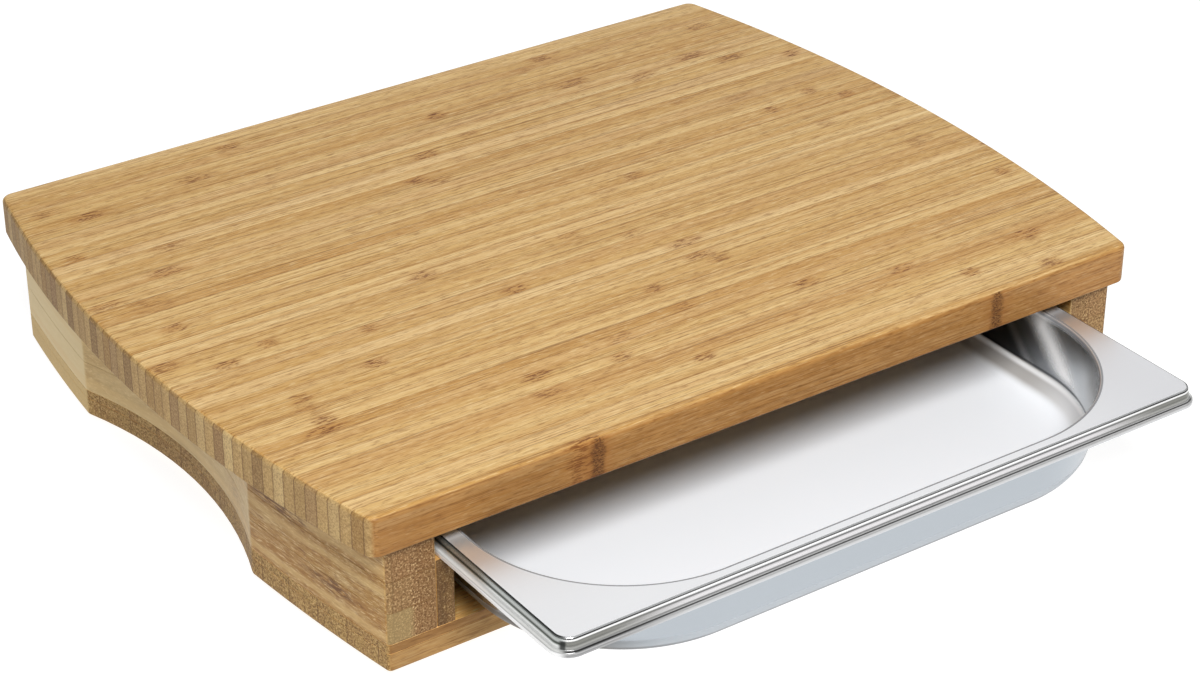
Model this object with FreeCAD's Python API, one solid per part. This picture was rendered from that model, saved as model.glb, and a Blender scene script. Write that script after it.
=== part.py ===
"""Bamboo cutting board on two side blocks, with a steel tray that slides in the bay under it.

Millimetres. X runs left to right, Y from the open front to the back, Z up. The origin is on the surface
that the feet stand on, in the middle of the whole footprint with the tray drawn out by tray_out.
Everything is worked out from the tray: the bay fits round it, the base round the bay, the board over all.
"""
import FreeCAD
import Part
import math
import os
from FreeCAD import Vector

# Fits
slide_gap = 0.3              # between the tray's lip and its runners, and its stops when it is shut
tray_side_gap = 2.0          # each side, between the lip and the wall of the bay
tray_headroom = 4.8          # between the tray's flange and the board
tray_floor_gap = 2.5         # between the tray's bottom and the base panel
dowel_gap = 0.1              # glue line round each dowel
dowel_end_gap = 0.5          # air at the ends of a dowel
screw_gap = 0.1              # round a screw's shank and head

# Steel tray
tray_width = 325.0
tray_length = 265.0
tray_depth = 36.5            # from the top of the flange to the underside
tray_sheet = 0.8
tray_out = 81.0              # how far the lip stands in front of the board at rest
lip_height = 2.1
lip_ledge = 1.6              # flat strip between the lip and the step
step_height = 5.2
step_lean = 0.9              # how far the step leans inward over its height
rim_corner_radius = 9.0
rim_fold = 0.6               # width of the narrow bevel along the lip's fold and the flange's edge
flange_side = 9.1
flange_end = 5.4
well_corner_radius = 70.0
well_lean = 3.0              # how far the wall leans inward over its height
well_floor_radius = 10.0
well_mouth_bevel = 0.7

# Side blocks
block_front_width = 22.5
block_layers = 3
base_side_bow = 13.5         # how far each side of the base swells between its corners
base_corner_radius = 1.8
hollow_edge_radius = 1.2     # at both ends of the finger hollow
block_inner_radius = 0.9     # the sanded inner edges
hollow_start = 90.1          # from the base's front face
hollow_length = 152.0
hollow_depth = 16.3          # from the crown of the side

# Runners and stops
runner_width = 8.2
stop_height = 9.0
stop_length = 38.7

# Base panel and back rail
panel_upper_thickness = 4.3
panel_lower_thickness = 8.3
panel_edge_bevel = 0.6
rail_thickness = 18.0

# Top board
board_thickness = 18.0
board_front_overhang = 2.4   # over the base's front and back faces
board_side_overhang = 7.0    # over the base's corners
board_side_bow = 18.0
board_corner_radius = 4.5
board_top_edge_radius = 2.2
board_under_edge_bevel = 0.8

# Dowels
dowel_radius = 4.0
dowel_in_board = 10.0
dowel_in_block = 12.0
dowel_inset = 38.0           # from the base's front and back faces
dowel_wall = 11.0            # from the bay's wall to the dowel's axis

# Feet and their screws
foot_radius = 9.0
foot_height = 2.5
foot_lean = 0.8              # how much narrower the foot is where it stands
foot_front_inset = 26.0
foot_side_inset = 26.0       # from the base's corner
screw_head_radius = 3.2
screw_head_depth = 1.4
screw_shank_radius = 1.5
screw_in_panel = 7.0

# Hidden pins, screws and feet are many-sided, which keeps the part light
pin_sides = 12
foot_sides = 24

# Depths and heights that follow
base_depth = tray_length + slide_gap + stop_length + rail_thickness
board_depth = base_depth + 2 * board_front_overhang
board_front_y = (tray_out - board_depth) / 2
board_back_y = board_front_y + board_depth
base_front_y = board_front_y + board_front_overhang
base_back_y = base_front_y + base_depth
middle_y = (base_front_y + base_back_y) / 2
rail_front_y = base_back_y - rail_thickness
stop_front_y = rail_front_y - stop_length

bay_height = tray_headroom + tray_depth + tray_floor_gap
layer_height = bay_height / block_layers
panel_lower_z = foot_height
panel_upper_z = panel_lower_z + panel_lower_thickness
bay_floor_z = panel_upper_z + panel_upper_thickness
board_under_z = bay_floor_z + bay_height

bay_half_width = tray_width / 2 + tray_side_gap
base_corner_x = bay_half_width + block_front_width
board_corner_x = base_corner_x + board_side_overhang

flange_z = board_under_z - tray_headroom
ledge_z = flange_z - step_height
lip_z = ledge_z - lip_height
tray_under_z = flange_z - tray_depth
runner_top_z = lip_z - slide_gap
tray_front_y = board_front_y - tray_out
tray_middle_y = tray_front_y + tray_length / 2


def bowed_x(y, corner_x, bow, depth):
    """Half width at y of an outline whose side swells by bow between corners depth apart."""
    radius = ((depth / 2) ** 2 + bow ** 2) / (2 * bow)
    return corner_x + bow - radius + math.sqrt(radius ** 2 - (y - middle_y) ** 2)


def arc_between(first, middle, last):
    """Edge of the arc through three points."""
    return Part.Arc(first, middle, last).toShape()


def side_curve(side, y_from, y_to, corner_x, bow, depth, z):
    """Stretch of a bowed side between two values of y."""
    rows = (y_from, (y_from + y_to) / 2, y_to)
    points = [Vector(side * bowed_x(y, corner_x, bow, depth), y, z) for y in rows]
    return arc_between(*points)


def base_side(side, z):
    """Outer side of the base from front to back: bowed, with the finger hollow in it."""
    hollow_front = base_front_y + hollow_start
    hollow_back = hollow_front + hollow_length
    hollow_x = base_corner_x + base_side_bow - hollow_depth
    bowed = (base_corner_x, base_side_bow, base_depth)
    front = side_curve(side, base_front_y, hollow_front, *bowed, z)
    back = side_curve(side, hollow_back, base_back_y, *bowed, z)
    hollow = arc_between(
        Vector(side * bowed_x(hollow_front, *bowed), hollow_front, z),
        Vector(side * hollow_x, (hollow_front + hollow_back) / 2, z),
        Vector(side * bowed_x(hollow_back, *bowed), hollow_back, z),
    )
    return [front, hollow, back]


def prism(edges, height):
    """Solid over a closed outline."""
    face = Part.Face(Part.Wire(Part.__sortEdges__(edges)))
    return face.extrude(Vector(0, 0, height))


def line(x_from, y_from, x_to, y_to, z):
    """Straight edge in a level plane."""
    return Part.makeLine(Vector(x_from, y_from, z), Vector(x_to, y_to, z))


def box(x_from, x_to, y_from, y_to, z_from, z_to):
    """Box between six planes."""
    size = (x_to - x_from, y_to - y_from, z_to - z_from)
    return Part.makeBox(*size, Vector(x_from, y_from, z_from))


def rounded(solid, radius, wanted):
    """Solid with the edges that wanted(edge) picks rounded."""
    return solid.makeFillet(radius, [edge for edge in solid.Edges if wanted(edge)])


def bevelled(solid, width, wanted):
    """Solid with the edges that wanted(edge) picks bevelled at 45 degrees."""
    return solid.makeChamfer(width, [edge for edge in solid.Edges if wanted(edge)])


def upright_at(x, y):
    """Test for an upright edge at x and y."""
    def wanted(edge):
        size = edge.BoundBox
        upright = size.ZLength > max(size.XLength, size.YLength)
        middle = size.Center
        return upright and abs(middle.x - x) < 0.01 and abs(middle.y - y) < 0.01
    return wanted


def level_at(z):
    """Test for an edge that lies at height z."""
    def wanted(edge):
        size = edge.BoundBox
        return size.ZLength < 0.01 and abs(size.ZMin - z) < 0.01
    return wanted


def sand_base_side(solid, side):
    """Round the outer upright edges that a side of the base has."""
    for y in (base_front_y, base_back_y):
        solid = rounded(solid, base_corner_radius, upright_at(side * base_corner_x, y))
    for y in (base_front_y + hollow_start, base_front_y + hollow_start + hollow_length):
        x = bowed_x(y, base_corner_x, base_side_bow, base_depth)
        solid = rounded(solid, hollow_edge_radius, upright_at(side * x, y))
    return solid


def many_sided(radius, x, y, z, sides):
    """Corners of a level ring with equal sides about x and y, first and last the same."""
    turns = [2 * math.pi * (step % sides) / sides for step in range(sides + 1)]
    return [Vector(x + radius * math.cos(turn), y + radius * math.sin(turn), z) for turn in turns]


def post(bottom_radius, top_radius, height, x, y, z, sides=pin_sides):
    """Upright many-sided post standing on z, which may widen or narrow upward."""
    low = many_sided(bottom_radius, x, y, z, sides)
    high = many_sided(top_radius, x, y, z + height, sides)
    outlines = [low, high]
    for here in range(sides):
        outlines.append([low[here], low[here + 1], high[here + 1], high[here], low[here]])
    faces = [Part.Face(Part.makePolygon(outline)) for outline in outlines]
    return Part.makeSolid(Part.makeShell(faces))


def dowel_places():
    """Axes of the four dowels."""
    x = bay_half_width + dowel_wall
    rows = (base_front_y + dowel_inset, base_back_y - dowel_inset)
    return [(side * x, y) for side in (-1, 1) for y in rows]


def foot_places():
    """Centres of the feet by their names."""
    x = base_corner_x - foot_side_inset
    rows = {"front": base_front_y + foot_front_inset, "back": base_back_y - foot_front_inset}
    sides = {"left": -1, "right": 1}
    return {f"{row}_{side}": (sides[side] * x, rows[row]) for row in rows for side in sides}


def without_dowel_holes(solid, places):
    """Solid with the dowels' holes bored in it."""
    radius = dowel_radius + dowel_gap
    bottom_z = board_under_z - dowel_in_block - dowel_end_gap
    height = board_under_z + dowel_in_board + dowel_end_gap - bottom_z
    for x, y in places:
        solid = solid.cut(post(radius, radius, height, x, y, bottom_z))
    return solid


def make_top_board():
    """Thick board with straight front and back, bowed sides and rounded edges."""
    bowed = (board_corner_x, board_side_bow, board_depth)
    outline = [
        line(-board_corner_x, board_front_y, board_corner_x, board_front_y, board_under_z),
        side_curve(1, board_front_y, board_back_y, *bowed, board_under_z),
        line(board_corner_x, board_back_y, -board_corner_x, board_back_y, board_under_z),
        side_curve(-1, board_back_y, board_front_y, *bowed, board_under_z),
    ]
    board = prism(outline, board_thickness)
    for side in (-1, 1):
        for y in (board_front_y, board_back_y):
            board = rounded(board, board_corner_radius, upright_at(side * board_corner_x, y))
    board = rounded(board, board_top_edge_radius, level_at(board_under_z + board_thickness))
    board = bevelled(board, board_under_edge_bevel, level_at(board_under_z))
    return without_dowel_holes(board, dowel_places())


def make_block_layer(side, layer):
    """One glued layer of a side block."""
    z = bay_floor_z + layer * layer_height
    inner_x = side * bay_half_width
    outline = [
        line(inner_x, base_front_y, side * base_corner_x, base_front_y, z),
        *base_side(side, z),
        line(side * base_corner_x, base_back_y, inner_x, base_back_y, z),
        line(inner_x, base_back_y, inner_x, base_front_y, z),
    ]
    block = sand_base_side(prism(outline, layer_height), side)
    block = rounded(block, block_inner_radius, upright_at(inner_x, base_front_y))
    if layer < block_layers - 1:
        return block
    return without_dowel_holes(block, [place for place in dowel_places() if place[0] * side > 0])


def make_panel_ply(z, thickness):
    """One ply of the base panel, as wide as both blocks and cut by both hollows."""
    outline = [
        line(-base_corner_x, base_front_y, base_corner_x, base_front_y, z),
        *base_side(1, z),
        line(base_corner_x, base_back_y, -base_corner_x, base_back_y, z),
        *base_side(-1, z),
    ]
    ply = prism(outline, thickness)
    for side in (-1, 1):
        ply = sand_base_side(ply, side)
    return ply


def make_panel_upper():
    """Upper ply, the floor of the bay."""
    return make_panel_ply(panel_upper_z, panel_upper_thickness)


def make_panel_lower():
    """Lower ply, with its lower edge bevelled and pilot holes for the feet's screws."""
    ply = make_panel_ply(panel_lower_z, panel_lower_thickness)
    ply = bevelled(ply, panel_edge_bevel, level_at(panel_lower_z))
    radius = screw_shank_radius + screw_gap
    for x, y in foot_places().values():
        ply = ply.cut(post(radius, radius, screw_in_panel + screw_gap, x, y, panel_lower_z))
    return ply


def make_runner(side):
    """Strip inside a block, under the tray's lip."""
    x_range = sorted((side * bay_half_width, side * (bay_half_width - runner_width)))
    return box(*x_range, base_front_y, rail_front_y, bay_floor_z, runner_top_z)


def make_stop(side):
    """Block on the back of a runner, which the shut tray meets."""
    x_range = sorted((side * bay_half_width, side * (bay_half_width - runner_width)))
    return box(*x_range, stop_front_y, rail_front_y, runner_top_z, runner_top_z + stop_height)


def make_back_rail():
    """Rail between the blocks at the back of the bay."""
    return box(-bay_half_width, bay_half_width, rail_front_y, base_back_y, bay_floor_z, board_under_z)


def make_dowels():
    """Pins between the blocks and the board."""
    height = dowel_in_block + dowel_in_board
    bottom_z = board_under_z - dowel_in_block
    return Part.makeCompound([post(dowel_radius, dowel_radius, height, x, y, bottom_z) for x, y in dowel_places()])


def make_foot(place):
    """Rubber disc at place, narrower where it stands, with a seat for the screw's head."""
    head_radius = screw_head_radius + screw_gap
    shank_radius = screw_shank_radius + screw_gap
    head_z = foot_height - screw_head_depth
    foot = post(foot_radius - foot_lean, foot_radius, foot_height, *place, 0, foot_sides)
    seat = post(head_radius, head_radius, head_z, *place, 0)
    head = post(head_radius, shank_radius, screw_head_depth, *place, head_z)
    return foot.cut(seat).cut(head)


def make_foot_screws():
    """Countersunk screws that hold the feet under the panel."""
    screws = []
    for x, y in foot_places().values():
        head_z = foot_height - screw_head_depth
        head = post(screw_head_radius, screw_shank_radius, screw_head_depth, x, y, head_z)
        shank = post(screw_shank_radius, screw_shank_radius, screw_in_panel, x, y, foot_height)
        screws.append(head.fuse(shank).removeSplitter())
    return Part.makeCompound(screws)


def rounded_rectangle(half_width, half_length, radius, z):
    """Wire of a rectangle with round corners, about the middle of the tray."""
    corner = Vector(-half_width, tray_middle_y - half_length, z)
    plate = Part.makeBox(2 * half_width, 2 * half_length, 1, corner)
    plate = plate.makeFillet(radius, [edge for edge in plate.Edges if edge.BoundBox.ZLength > 0.5])
    floor = min(plate.Faces, key=lambda face: face.BoundBox.ZMax)
    return floor.OuterWire


def tapered(bottom, top):
    """Solid between two rounded rectangles, each given as half width, half length, radius and z."""
    return Part.makeLoft([rounded_rectangle(*bottom), rounded_rectangle(*top)], True, True)


def inset_rectangle(inset, z):
    """Sizes of the tray's rim outline, moved inward by inset, at height z."""
    return (tray_width / 2 - inset, tray_length / 2 - inset, rim_corner_radius - inset, z)


def rim_block(skin):
    """Solid under the rim's surface, moved inward and down by the sheet's thickness, or by nothing."""
    step_inset = lip_ledge + skin
    lip = tapered(inset_rectangle(skin, lip_z), inset_rectangle(skin, ledge_z - skin))
    step = tapered(
        inset_rectangle(step_inset, lip_z),
        inset_rectangle(step_inset + step_lean, flange_z - skin),
    )
    if not skin:
        lip = bevelled(lip, rim_fold, level_at(ledge_z))
        step = bevelled(step, rim_fold, level_at(flange_z))
    return lip.fuse(step)


def well_block(skin):
    """Solid of the well's hollow, moved outward by the sheet's thickness, or by nothing."""
    half_width = tray_width / 2 - lip_ledge - step_lean - flange_side + skin
    half_length = tray_length / 2 - lip_ledge - step_lean - flange_end + skin
    radius = well_corner_radius + skin
    floor_z = tray_under_z + tray_sheet - skin
    low = (half_width - well_lean, half_length - well_lean, radius - well_lean, floor_z)
    high = (half_width, half_length, radius, flange_z)
    return rounded(tapered(low, high), well_floor_radius + skin, level_at(floor_z))


def make_tray():
    """Deep-drawn tray: a well with a round floor edge, a flat flange, a step and a turned-down lip."""
    tray = rim_block(0).cut(rim_block(tray_sheet))
    tray = tray.fuse(well_block(tray_sheet)).cut(well_block(0))
    tray = tray.removeSplitter()
    flange_middle_x = tray_width / 2 - lip_ledge - step_lean - flange_side / 2

    def at_mouth(edge):
        size = edge.BoundBox
        return level_at(flange_z)(edge) and max(size.XMax, -size.XMin) < flange_middle_x

    return bevelled(tray, well_mouth_bevel, at_mouth)


def make_parts():
    """Every piece by its node's name."""
    parts = {
        "top_board": make_top_board(),
        "base_panel_upper": make_panel_upper(),
        "base_panel_lower": make_panel_lower(),
        "back_rail": make_back_rail(),
        "dowels": make_dowels(),
        "foot_screws": make_foot_screws(),
        "tray": make_tray(),
    }
    for name, side in (("left", -1), ("right", 1)):
        for layer, level in enumerate(("lower", "middle", "upper")):
            parts[f"{name}_block_{level}"] = make_block_layer(side, layer)
        parts[f"{name}_runner"] = make_runner(side)
        parts[f"{name}_stop"] = make_stop(side)
    for name, place in foot_places().items():
        parts[f"foot_{name}"] = make_foot(place)
    return parts


def main():
    """Write one STEP file for each piece."""
    os.makedirs("parts", exist_ok=True)
    for name, shape in make_parts().items():
        shape.exportStep(f"parts/{name}.step")
        print(f"{name}: {len(shape.Solids)} solid(s), {shape.Volume / 1000:.1f} cm3, valid {shape.isValid()}")


main()
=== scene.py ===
"""Bamboo cutting board on two side blocks, with a pressed steel tray drawn out of the bay under it.

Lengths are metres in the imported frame: X left to right, Y from the open front to the back, Z up from
the surface that the feet stand on. The finishes work in millimetres.
"""
import logging
import math
from dataclasses import dataclass, field
from enum import Enum
from typing import Any, Callable, Sequence

import bmesh
import bpy
from mathutils import Matrix, Vector


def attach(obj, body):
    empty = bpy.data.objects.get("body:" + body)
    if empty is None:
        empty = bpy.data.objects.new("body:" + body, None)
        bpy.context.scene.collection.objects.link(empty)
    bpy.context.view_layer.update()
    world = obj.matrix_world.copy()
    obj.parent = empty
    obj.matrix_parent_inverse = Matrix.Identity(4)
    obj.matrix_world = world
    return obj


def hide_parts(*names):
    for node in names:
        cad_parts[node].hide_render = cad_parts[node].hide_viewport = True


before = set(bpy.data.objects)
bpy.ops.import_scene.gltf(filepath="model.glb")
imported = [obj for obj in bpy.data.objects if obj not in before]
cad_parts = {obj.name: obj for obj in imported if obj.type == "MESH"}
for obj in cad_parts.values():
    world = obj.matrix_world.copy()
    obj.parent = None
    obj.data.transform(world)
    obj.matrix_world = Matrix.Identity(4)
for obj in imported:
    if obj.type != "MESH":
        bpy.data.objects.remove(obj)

log = logging.getLogger("cutting_board")

Colour = tuple[float, float, float]
Stops = tuple[tuple[float, Colour], ...]
Outline = Sequence[tuple[float, float]]
Curve = Callable[[float], float]

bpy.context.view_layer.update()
MIDDLE_Y = 0.0405            # middle of the board and its base
STRIP_STAVE = 9.0            # width of a stave in the strips and the rail, in millimetres
BASE = "base"
TRAY = "tray"
BAMBOO = "bamboo"
NEAR = 2e-5                  # how closely a place is met
SHARP = 0.6                  # an edge that turns more than this, in radians, is sharp
MM = 1000.0                  # millimetres in a metre
WHITE: Colour = (1.0, 1.0, 1.0)


# ---------------------------------------------------------------- shader nodes


def shade(red: int, green: int, blue: int) -> Colour:
    """Linear colour of an 8-bit screen colour.

    Args:
        red, green, blue: Screen values from 0 to 255.

    Returns:
        The three linear values.
    """
    def linear(value: float) -> float:
        """Linear value of one screen value."""
        return value / 12.92 if value <= 0.04045 else ((value + 0.055) / 1.055) ** 2.4
    return (linear(red / 255), linear(green / 255), linear(blue / 255))


def shades(*stops: tuple[float, int, int, int]) -> Stops:
    """Ramp stops out of places and screen colours."""
    return tuple((place, shade(*colour)) for place, *colour in stops)


def tones(*stops: tuple[float, ...]) -> Stops:
    """Ramp stops out of places, each with one grey or three linear values."""
    return tuple((place, tuple(values * 3)[:3]) for place, *values in stops)


class Wire:
    """A node's output that takes part in arithmetic."""

    def __init__(self, bench: "NodeBench", socket: Any) -> None:
        """Keep the output and the bench that makes nodes for it."""
        self.bench = bench
        self.socket = socket

    def __add__(self, other: Any) -> "Wire":
        """Sum."""
        return self.bench.maths("ADD", self, other)

    def __radd__(self, other: Any) -> "Wire":
        """Sum with a number on the left."""
        return self.bench.maths("ADD", other, self)

    def __sub__(self, other: Any) -> "Wire":
        """Difference."""
        return self.bench.maths("SUBTRACT", self, other)

    def __rsub__(self, other: Any) -> "Wire":
        """Difference from a number on the left."""
        return self.bench.maths("SUBTRACT", other, self)

    def __mul__(self, other: Any) -> "Wire":
        """Product."""
        return self.bench.maths("MULTIPLY", self, other)

    def __rmul__(self, other: Any) -> "Wire":
        """Product with a number on the left."""
        return self.bench.maths("MULTIPLY", other, self)

    def __truediv__(self, other: Any) -> "Wire":
        """Quotient."""
        return self.bench.maths("DIVIDE", self, other)

    def __abs__(self) -> "Wire":
        """Value without its sign."""
        return self.bench.maths("ABSOLUTE", self)

    def floor(self) -> "Wire":
        """Whole number below."""
        return self.bench.maths("FLOOR", self)

    def part(self) -> "Wire":
        """What is over the whole number below."""
        return self.bench.maths("FRACT", self)

    def rise(self, start: float, end: float) -> "Wire":
        """Smooth step.

        Args:
            start: Where the step is 0.
            end: Where it is 1. It may be less than start, for a fall.

        Returns:
            The step, from 0 to 1.
        """
        step = self.bench.node(
            "ShaderNodeMapRange",
            {"interpolation_type": "SMOOTHSTEP", "clamp": True},
            {"Value": self, "From Min": min(start, end), "From Max": max(start, end)},
        )
        return step if end > start else 1 - step

    def band(self, near: float, far: float) -> "Wire":
        """1 where the value is nearer to 0 than near, and 0 where it is farther than far."""
        return 1 - abs(self).rise(near, far)


class NodeBench:
    """Makes the nodes of one material."""

    def __init__(self, name: str) -> None:
        """Start a material with a principled shader.

        Args:
            name: The material's name.
        """
        self.material = bpy.data.materials.new(name)
        self.material.use_nodes = True
        self.tree = self.material.node_tree
        self.tree.nodes.clear()
        self.shader = self.tree.nodes.new("ShaderNodeBsdfPrincipled")
        output = self.tree.nodes.new("ShaderNodeOutputMaterial")
        self.tree.links.new(self.shader.outputs["BSDF"], output.inputs["Surface"])

    @staticmethod
    def socket(sockets: Any, key: str | int) -> Any:
        """Socket of a node by its identifier, name or place."""
        same = [socket for socket in sockets if socket.identifier == key]
        return same[0] if same else sockets[key]

    def feed(self, node: Any, inputs: dict[Any, Any]) -> None:
        """Link wires to a node's inputs and set the others.

        Args:
            node: The node.
            inputs: A wire, number or colour for each input.
        """
        for key, value in inputs.items():
            target = self.socket(node.inputs, key)
            if isinstance(value, Wire):
                self.tree.links.new(value.socket, target)
            elif isinstance(value, tuple):
                target.default_value = (*value, 1.0)
            else:
                target.default_value = value

    def node(
        self,
        kind: str,
        settings: dict[str, Any] | None = None,
        inputs: dict[Any, Any] | None = None,
        output: str | int = 0,
    ) -> Wire:
        """Any node.

        Args:
            kind: The node's type.
            settings: Its properties, or the stops of a ramp.
            inputs: Wires and values for its inputs.
            output: The output that is wanted.

        Returns:
            That output.
        """
        made = self.tree.nodes.new(kind)
        for key, value in (settings or {}).items():
            if key == "stops":
                self.set_stops(made.color_ramp, value)
            else:
                setattr(made, key, value)
        self.feed(made, inputs or {})
        return Wire(self, self.socket(made.outputs, output))

    @staticmethod
    def set_stops(ramp: Any, stops: Stops) -> None:
        """Put a ramp's colours in place.

        Args:
            ramp: The ramp.
            stops: Place and colour of each stop.
        """
        while len(ramp.elements) > len(stops):
            ramp.elements.remove(ramp.elements[-1])
        while len(ramp.elements) < len(stops):
            ramp.elements.new(1.0)
        for element, (place, colour) in zip(ramp.elements, stops):
            element.position = place
            element.color = (*colour, 1.0)

    def maths(self, operation: str, first: Any, second: Any = 0.0) -> Wire:
        """Result of one operation on wires or numbers."""
        return self.node("ShaderNodeMath", {"operation": operation}, {0: first, 1: second})

    def at_least(self, least: float, value: Wire) -> Wire:
        """A value that doesn't fall below another."""
        return self.maths("MAXIMUM", value, least)

    def mix(self, share: Any, first: Any, second: Any, blend: str = "MIX") -> Wire:
        """Blend of two colours.

        Args:
            share: How much of the second.
            first, second: The colours.
            blend: How the second goes over the first.

        Returns:
            The colour.
        """
        settings = {"data_type": "RGBA", "blend_type": blend, "clamp_factor": True}
        inputs = {"Factor_Float": share, "A_Color": first, "B_Color": second}
        return self.node("ShaderNodeMix", settings, inputs, "Result_Color")

    def coats(self, tone: Any, *coats: tuple[Any, Any]) -> Any:
        """Colour with coats over it.

        Args:
            tone: The colour below.
            coats: The share and the colour of each coat, from the lowest.

        Returns:
            The colour.
        """
        for share, colour in coats:
            tone = self.mix(share, tone, colour)
        return tone

    def multiplied(self, tone: Any, stain: Colour) -> Wire:
        """Colour multiplied by another, for a stain's tint and for painted light and shade."""
        return self.mix(1.0, tone, stain, "MULTIPLY")

    def ramp(self, share: Wire, stops: Stops) -> Wire:
        """Colour ramp over a value."""
        return self.node("ShaderNodeValToRGB", {"stops": stops}, {"Fac": share})

    def place(self) -> tuple[Wire, Wire, Wire]:
        """Object coordinates in millimetres."""
        inputs = {0: self.node("ShaderNodeTexCoord", output="Object"), "Scale": MM}
        return self.split(self.node("ShaderNodeVectorMath", {"operation": "SCALE"}, inputs))

    def facing(self) -> tuple[Wire, Wire, Wire]:
        """The three parts of the surface's direction."""
        return self.split(self.node("ShaderNodeTexCoord", output="Normal"))

    def split(self, vector: Wire) -> tuple[Wire, Wire, Wire]:
        """The three parts of a vector."""
        outputs = self.node("ShaderNodeSeparateXYZ", inputs={0: vector}).socket.node.outputs
        return tuple(Wire(self, outputs[axis]) for axis in range(3))

    def vector(self, parts: Sequence[Any]) -> Wire:
        """Vector of three wires or numbers."""
        return self.node("ShaderNodeCombineXYZ", inputs=dict(enumerate(parts)))

    def noise(self, place: Sequence[Any], detail: float = 2.0, roughness: float = 0.5) -> Wire:
        """Soft noise from 0 to 1 with a period of about 1 in the place's own units."""
        inputs = {"Vector": self.vector(place), "Scale": 1.0, "Detail": detail, "Roughness": roughness}
        return self.node("ShaderNodeTexNoise", inputs=inputs)

    def chance(self, *cell: Any) -> tuple[Wire, Wire, Wire]:
        """Three random values from 0 to 1 that stay the same over a cell."""
        settings, inputs = {"noise_dimensions": "3D"}, {"Vector": self.vector(cell)}
        return self.split(self.node("ShaderNodeTexWhiteNoise", settings, inputs, "Color"))

    def bump(self, height: Wire, strength: float, depth: float) -> Wire:
        """Normal of a surface with a fine relief."""
        return self.node("ShaderNodeBump", {}, {"Height": height, "Strength": strength, "Distance": depth})

    def finish(self, **sockets: Any) -> Any:
        """Feed the shader's sockets, named with _ for a space, and give back the material."""
        self.feed(self.shader, {name.replace("_", " "): value for name, value in sockets.items()})
        return self.material


# -------------------------------------------------------------------- finishes


class Grain(Enum):
    """The way the bamboo's fibres run."""

    SIDEWAYS = 0
    DEPTHWAYS = 1


@dataclass(frozen=True)
class Cut:
    """A place in the bamboo as its staves see it, in millimetres.

    Attributes:
        bench: Makes the nodes.
        along, across, z: Distance along the fibres, distance across the staves, and height.
        fibre: Distance along the fibres, moved by a random length in each stave.
        inside: Place within the stave, from 0 to 1.
        to_joint: Distance to the nearest glue line.
        number: The stave's number.
        luck: Three random values that the stave keeps.
    """

    bench: NodeBench
    along: Wire
    across: Wire
    z: Wire
    fibre: Wire
    inside: Wire
    to_joint: Wire
    number: Wire
    luck: tuple[Wire, Wire, Wire]


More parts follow.
